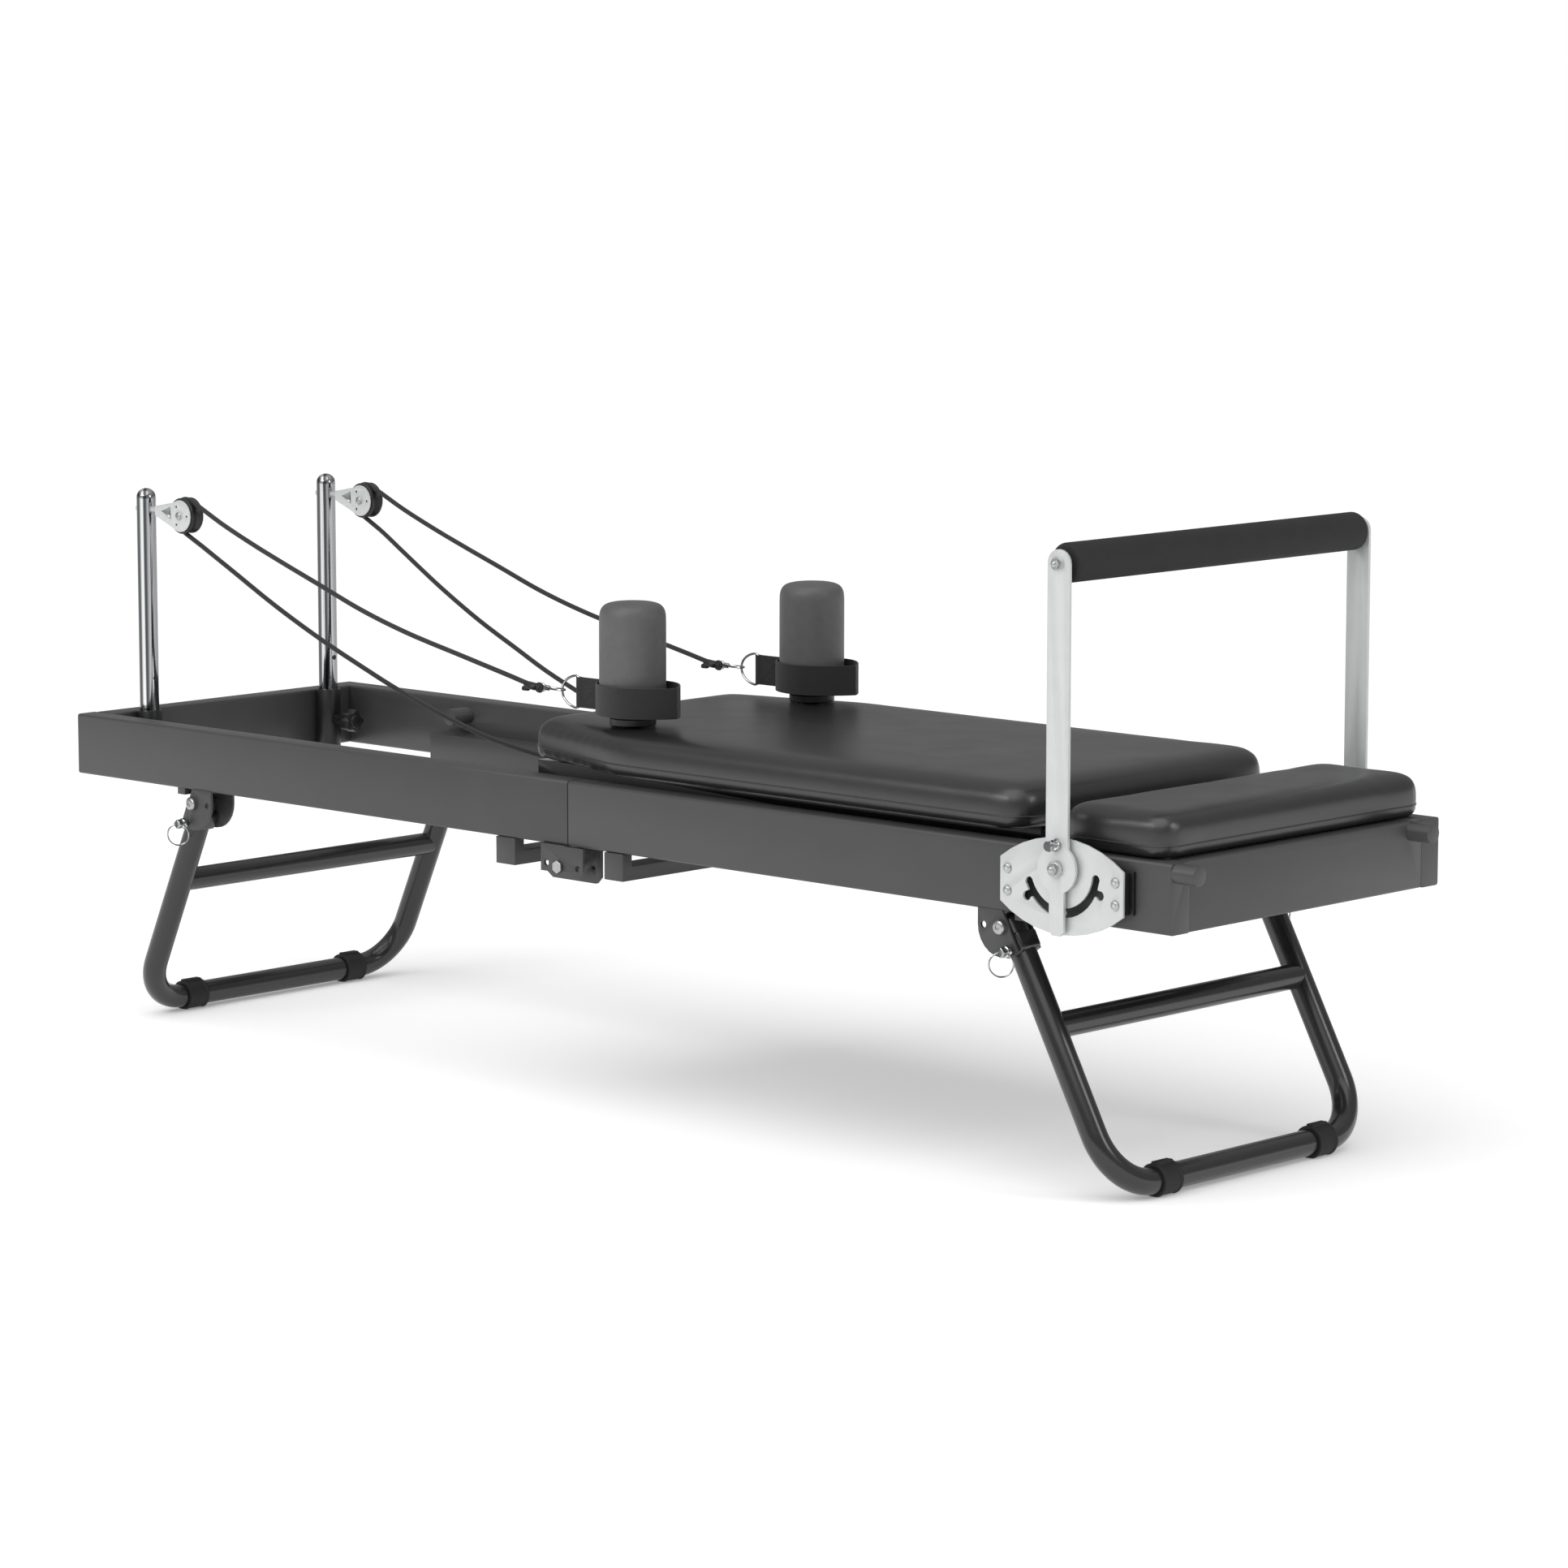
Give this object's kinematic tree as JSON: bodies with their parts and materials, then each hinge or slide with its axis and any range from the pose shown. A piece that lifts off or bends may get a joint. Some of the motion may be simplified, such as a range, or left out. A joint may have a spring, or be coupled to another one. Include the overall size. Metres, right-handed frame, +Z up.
{
  "type": "pilates reformer",
  "caption": "Folding pilates reformer with a padded sliding carriage, tilting footbar, rope pulleys, hand straps and folding leg frames.",
  "frame": {"origin": "on the floor under the middle of the machine's length and width", "axes": "+X towards the footbar end, +Y towards the far side rail, +Z up"},
  "size_m": [2.3406, 0.7086, 0.912],
  "materials": {
    "rail_paint": "satin dark grey powder coat",
    "zinc": "zinc plated",
    "black_plastic": "moulded, satin",
    "chrome": "polished plate",
    "silver_paint": "pale silver paint, satin",
    "pad_vinyl": "black vinyl upholstery, satin",
    "rest_vinyl": "dark grey vinyl",
    "gloss_paint": "black gloss paint",
    "rubber": "matt",
    "foam": "closed-cell foam",
    "webbing": "woven webbing",
    "rope": "braided",
    "spring_steel": "bright wire"
  },
  "bodies": {
    "head_frame": {"head_rail_near": "rail_paint", "head_rail_far": "rail_paint", "head_end_rail": "rail_paint", "head_crossbar": "rail_paint", "post_socket_near": "black_plastic", "post_socket_far": "black_plastic", "pulley_post_near": "chrome", "pulley_post_far": "chrome", "pulley_bracket_near": "silver_paint", "pulley_bracket_far": "silver_paint", "frame_hinge_bolt_near": "zinc", "frame_hinge_bolt_far": "zinc", "rope_near": "rope", "rope_far": "rope", "spring_near": "spring_steel", "spring_middle": "spring_steel", "spring_far": "spring_steel"},
    "foot_frame": {"foot_rail_near": "rail_paint", "foot_rail_far": "rail_paint", "foot_end_rail": "rail_paint", "foot_crossbar": "rail_paint", "spring_bar": "rail_paint", "standing_pad": "pad_vinyl", "footbar_plate_near": "silver_paint", "footbar_plate_far": "silver_paint"},
    "head_leg": {"head_leg_tube": "gloss_paint", "head_leg_foot_near": "rubber", "head_leg_foot_far": "rubber"},
    "foot_leg": {"foot_leg_tube": "gloss_paint", "foot_leg_foot_near": "rubber", "foot_leg_foot_far": "rubber"},
    "footbar": {"footbar_arm_near": "silver_paint", "footbar_arm_far": "silver_paint", "footbar_tube": "zinc", "footbar_grip": "foam"},
    "carriage": {"carriage_pad": "pad_vinyl", "carriage_chassis": "gloss_paint", "strap_near": "webbing", "strap_far": "webbing", "d_ring_near": "chrome", "d_ring_far": "chrome", "snap_hook_near": "chrome", "snap_hook_far": "chrome"},
    "carriage_wheel_front_near": {"carriage_wheel_front_near": "black_plastic"},
    "carriage_wheel_rear_near": {"carriage_wheel_rear_near": "black_plastic"},
    "footbar_plunger_near": {"footbar_plunger_near": "chrome"},
    "head_leg_pin_near": {"head_leg_pin_near": "chrome"},
    "foot_leg_pin_near": {"foot_leg_pin_near": "chrome"},
    "pulley_wheel_near": {"pulley_wheel_near": "black_plastic"},
    "post_knob_near": {"post_knob_near": "black_plastic"},
    "shoulder_rest_near": {"shoulder_rest_near": "rest_vinyl"},
    "carriage_wheel_front_far": {"carriage_wheel_front_far": "black_plastic"},
    "carriage_wheel_rear_far": {"carriage_wheel_rear_far": "black_plastic"},
    "footbar_plunger_far": {"footbar_plunger_far": "chrome"},
    "head_leg_pin_far": {"head_leg_pin_far": "chrome"},
    "foot_leg_pin_far": {"foot_leg_pin_far": "chrome"},
    "pulley_wheel_far": {"pulley_wheel_far": "black_plastic"},
    "post_knob_far": {"post_knob_far": "black_plastic"},
    "shoulder_rest_far": {"shoulder_rest_far": "rest_vinyl"}
  },
  "joints": [
    {"name": "frame_fold", "type": "hinge", "parent": "head_frame", "child": "foot_frame", "pos_m": [-0.04025, 0, 0.359], "axis": [0, 1, 0], "range_deg": [0, 165]},
    {"name": "head_leg_fold", "type": "hinge", "parent": "head_frame", "child": "head_leg", "pos_m": [-0.88325, 0, 0.369], "axis": [0, 1, 0], "range_deg": [-113.2, 0]},
    {"name": "foot_leg_fold", "type": "hinge", "parent": "foot_frame", "child": "foot_leg", "pos_m": [0.83175, 0, 0.369], "axis": [0, 1, 0], "range_deg": [0, 117.2]},
    {"name": "carriage_slide", "type": "slide", "parent": "head_frame", "child": "carriage", "axis": [1, 0, 0], "range_m": [-0.7, 0], "stiffness_N_per_m": 150, "springref_m": 0.05, "deforming": ["rope_near", "rope_far", "spring_near", "spring_middle", "spring_far"]},
    {"name": "footbar_tilt", "type": "hinge", "parent": "foot_frame", "child": "footbar", "pos_m": [0.95975, 0, 0.468], "axis": [0, -1, 0], "range_deg": [-60, 60]},
    {"name": "wheel_front_near_spin", "type": "hinge", "parent": "carriage", "child": "carriage_wheel_front_near", "pos_m": [-0.08025, -0.245, 0.456], "axis": [0, 1, 0], "range_deg": [-1800, 5]},
    {"name": "wheel_rear_near_spin", "type": "hinge", "parent": "carriage", "child": "carriage_wheel_rear_near", "pos_m": [0.77475, -0.245, 0.456], "axis": [0, 1, 0], "range_deg": [-1800, 5]},
    {"name": "footbar_plunger_near_pull", "type": "slide", "parent": "footbar", "child": "footbar_plunger_near", "axis": [0, -1, 0], "range_m": [0, 0.01], "stiffness_N_per_m": 300, "springref_m": -0.01},
    {"name": "head_leg_pin_near_pull", "type": "slide", "parent": "head_frame", "child": "head_leg_pin_near", "axis": [0, -1, 0], "range_m": [0, 0.012], "stiffness_N_per_m": 300, "springref_m": -0.01},
    {"name": "foot_leg_pin_near_pull", "type": "slide", "parent": "foot_frame", "child": "foot_leg_pin_near", "axis": [0, -1, 0], "range_m": [0, 0.012], "stiffness_N_per_m": 300, "springref_m": -0.01},
    {"name": "pulley_near_spin", "type": "hinge", "parent": "head_frame", "child": "pulley_wheel_near", "pos_m": [-1.01165, -0.196, 0.817], "axis": [0, 1, 0], "continuous": true},
    {"name": "post_knob_near_turn", "type": "hinge", "parent": "head_frame", "child": "post_knob_near", "pos_m": [-1.09175, -0.196, 0.44], "axis": [1, 0, 0], "continuous": true},
    {"name": "shoulder_rest_near_lift", "type": "slide", "parent": "carriage", "child": "shoulder_rest_near", "axis": [0, 0, 1], "range_m": [0, 0.12]},
    {"name": "wheel_front_far_spin", "type": "hinge", "parent": "carriage", "child": "carriage_wheel_front_far", "pos_m": [-0.08025, 0.245, 0.456], "axis": [0, 1, 0], "range_deg": [-1800, 5]},
    {"name": "wheel_rear_far_spin", "type": "hinge", "parent": "carriage", "child": "carriage_wheel_rear_far", "pos_m": [0.77475, 0.245, 0.456], "axis": [0, 1, 0], "range_deg": [-1800, 5]},
    {"name": "footbar_plunger_far_pull", "type": "slide", "parent": "footbar", "child": "footbar_plunger_far", "axis": [0, 1, 0], "range_m": [0, 0.01], "stiffness_N_per_m": 300, "springref_m": -0.01},
    {"name": "head_leg_pin_far_pull", "type": "slide", "parent": "head_frame", "child": "head_leg_pin_far", "axis": [0, 1, 0], "range_m": [0, 0.012], "stiffness_N_per_m": 300, "springref_m": -0.01},
    {"name": "foot_leg_pin_far_pull", "type": "slide", "parent": "foot_frame", "child": "foot_leg_pin_far", "axis": [0, 1, 0], "range_m": [0, 0.012], "stiffness_N_per_m": 300, "springref_m": -0.01},
    {"name": "pulley_far_spin", "type": "hinge", "parent": "head_frame", "child": "pulley_wheel_far", "pos_m": [-1.01165, 0.196, 0.817], "axis": [0, 1, 0], "continuous": true},
    {"name": "post_knob_far_turn", "type": "hinge", "parent": "head_frame", "child": "post_knob_far", "pos_m": [-1.09175, 0.196, 0.44], "axis": [1, 0, 0], "continuous": true},
    {"name": "shoulder_rest_far_lift", "type": "slide", "parent": "carriage", "child": "shoulder_rest_far", "axis": [0, 0, 1], "range_m": [0, 0.12]}
  ],
  "couplings": [
    {"joint": "head_leg_fold", "follows": "frame_fold", "ratio": -0.6848},
    {"joint": "foot_leg_fold", "follows": "frame_fold", "ratio": 0.709},
    {"joint": "wheel_front_near_spin", "follows": "carriage_slide", "rad_per_m": 44.444},
    {"joint": "wheel_rear_near_spin", "follows": "carriage_slide", "rad_per_m": 44.444},
    {"joint": "wheel_front_far_spin", "follows": "carriage_slide", "rad_per_m": 44.444},
    {"joint": "wheel_rear_far_spin", "follows": "carriage_slide", "rad_per_m": 44.444}
  ]
}
